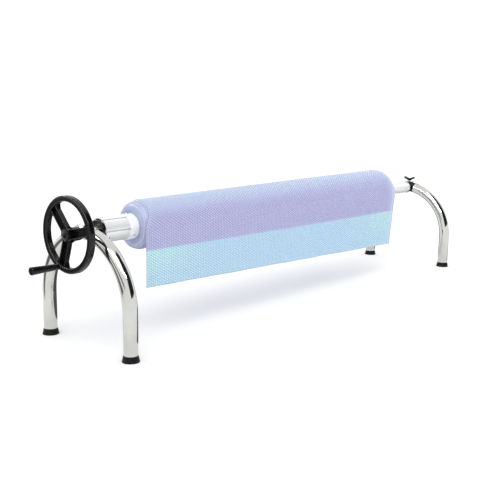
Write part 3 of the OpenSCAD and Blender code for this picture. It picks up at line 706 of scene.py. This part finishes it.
def buildRollBubbles(s):
    # lattice over the unrolled film, wrapped by angle; a whole number goes round, so each ring closes
    pitch = bubbleSettings["pitch"]
    filmStart = s["start"] + s["nearShoulder"]["length"]
    length = s["end"] - filmStart - s["farShoulder"]["length"] - s["bareEnd"]
    around = 2 * int(math.pi * (s["nearRadius"] + s["farRadius"]) / 2 / pitch)
    rows = int(length / (pitch * rowStep))
    row, column = np.meshgrid(np.arange(rows), np.arange(around), indexing="ij")
    x = (filmStart + s["firstRow"] + row * pitch * rowStep).ravel()
    angle = ((column + 0.5 * (row % 2)) * 2 * math.pi / around).ravel()

    def film(u, v):
        return rollSurface(v, -u)

    # a band as wide as the flap's near lip is left bare. It is measured from the roll's start, 14 mm
    # further in than the flap's, so the first row, under the lip's edge, is kept and crosses the lip
    halfLip = flapSettings["lipWidth"] / 2
    bareMiddle = s["start"] + flapSettings["topInset"] + halfLip
    clear = np.abs(x - bareMiddle) > halfLip + bubbleSettings["radius"]
    made = []
    for side, chosen in (("Near", clear & (x < x.mean())), ("Far", x >= x.mean())):
        made.append(makeBubbles(f"rollBubbles{side}", film, -angle[chosen], x[chosen], "rollFilm"))

    # the same rows go on over the shoulder, each bubble as much smaller as its ring is
    shoulder = s["nearShoulder"]
    rows = int(s["shoulderArc"] * (shoulder["length"] + shoulder["drop"]) / 2 / (pitch * rowStep))
    row, column = np.meshgrid(np.arange(rows), np.arange(around), indexing="ij")
    bend = ((row + 0.25) * math.pi / 2 / rows).ravel()
    angle = ((column + 0.5 * ((row + 1) % 2)) * 2 * math.pi / around).ravel()
    size = 1 - shoulder["drop"] / s["nearRadius"] * (1 - np.cos(bend))

    def corner(u, v):
        return shoulderSurface(-v, -u)

    made.append(makeBubbles("shoulderBubbles", corner, -angle, -bend, "rollFilm",
                            size=s["shoulderBubble"] * size))
    return made


rollBubbles = buildRollBubbles(rollSettings)
for piece in rollBubbles:
    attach(piece, "axle")
print("roll made:", len(coverRoll.data.polygons), "faces,",
      sum(len(b.data.polygons) for b in rollBubbles), "on bubbles")


meanRadius = (rollSettings["nearRadius"] + rollSettings["farRadius"]) / 2
flapWidth = flapSettings["end"] - flapSettings["start"]
wrappedArc = flapSettings["wrap"] * meanRadius


def flapRadius(x):
    return fullRadius(x) + flapSettings["gap"]


def flapHang(x):
    # hanging length below the axle's height, from the slanted cut
    s = flapSettings
    share = (x - s["start"]) / (s["end"] - s["start"])
    return rollSettings["axis"] - (s["lowNear"] + (s["lowFar"] - s["lowNear"]) * share)


def flapSurface(across, down, lift=0.0):
    # across runs 0..1 from the near edge, down 0..1 from the wrapped edge to the cut:
    # round the roll for the wrapped arc, then straight down with waves that grow towards the cut
    s = flapSettings
    plainX = s["start"] + across * flapWidth
    length = wrappedArc + flapHang(plainX)
    onRoll = np.clip(1 - down * length / wrappedArc, 0, 1)
    angle = onRoll * s["wrap"]
    below = np.maximum(0, down * length - wrappedArc)
    # the near edge moves inwards over the first 1.2 radians of the wrap, the far edge down the free part
    x = plainX + s["topInset"] * (1 - across) ** 6 * np.sin(np.minimum(angle, 1.2) * math.pi / 2.4)
    x = x - s["cornerInset"] * across ** 4 * below / (length - wrappedArc)
    nearLip = (1 - np.clip(across * flapWidth / s["lipWidth"], 0, 1)) ** 2
    farLip = (1 - np.clip((1 - across) * flapWidth / s["farLipWidth"], 0, 1)) ** 2
    lip = (s["lipDrop"] * nearLip + s["farLipDrop"] * farLip) * np.minimum(1, angle / s["lipFade"])
    radius = flapRadius(x) + lift - lip
    # the waves reach their full height 0.28 m down
    swing = s["wave"] * (below / 0.28) ** 1.3 * (np.sin(13 * x + 0.7) + 0.6 * np.sin(31 * x + 9 * below))
    y = -radius * np.cos(angle) - swing
    z = rollSettings["axis"] + radius * np.sin(angle) - below
    return np.stack([x, y, z], -1)


def flapPlace(points):
    # each point's height in radii from the axle, as 0..1 over the shade scale, and its place across the flap
    s = flapSettings
    across = (points[..., 0] - s["start"]) / flapWidth
    radii = (points[..., 2] - rollSettings["axis"]) / fullRadius(points[..., 0])
    height = radii + s["shadeTilt"] * (1 - across)
    onScale = np.clip((height - s["shadeLow"]) / s["shadeSpan"], 0, 1)
    return {"heightOnRoll": onScale.ravel(), "acrossFlap": across.ravel()}


def buildFlap(s):
    # the film's front and back, joined in one loop from the wrapped edge down and back up, with closed sides
    across = np.linspace(0, 1, s["points"][0])[None, :]
    down = np.linspace(0, 1, s["points"][1])[:, None]
    front = flapSurface(across, down, s["filmThick"])
    back = flapSurface(across, down[::-1])
    loop = np.concatenate([front, back])
    rows, columns = loop.shape[:2]
    quads = gridQuads(rows, columns, closedRows=True)
    half = rows // 2
    row = np.arange(half - 1)
    sides = []
    for column, order in ((0, (0, 1, 2, 3)), (columns - 1, (3, 2, 1, 0))):
        corners = [row, row + 1, rows - 2 - row, rows - 1 - row]
        sides.append(np.stack([corners[i] * columns + column for i in order], -1))
    return makePiece("coverFlap", loop, np.concatenate([quads, *sides]), "flapFilm", flapPlace(loop))


def buildFlapBubbles(s):
    # lattice over the flat cut, in a near and a far half; u runs down the film and v across it
    pitch = bubbleSettings["pitch"]
    down, across = latticePlaces(wrappedArc + flapHang(s["end"]) - pitch, flapWidth - 2 * pitch, pitch)
    down, across = down + 0.7 * pitch, (across + pitch) / flapWidth
    whole = wrappedArc + flapHang(s["start"] + across * flapWidth)
    inside = down < whole - 0.6 * pitch

    def front(u, v):
        return flapSurface(v, u, s["filmThick"])

    made = []
    for side, half in (("Near", across < 0.5), ("Far", across >= 0.5)):
        u, v = (down / whole)[inside & half], across[inside & half]
        made.append(makeBubbles(f"flapBubbles{side}", front, u, v, "flapFilm", flapPlace(front(u, v))))
    return made


coverFlap = buildFlap(flapSettings)
flapBubbles = buildFlapBubbles(flapSettings)
for piece in (coverFlap, *flapBubbles):
    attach(piece, "hanging_cover")
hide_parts("cover_flap")

print("flap made:", len(coverFlap.data.polygons), "faces,",
      sum(len(b.data.polygons) for b in flapBubbles), "on bubbles")
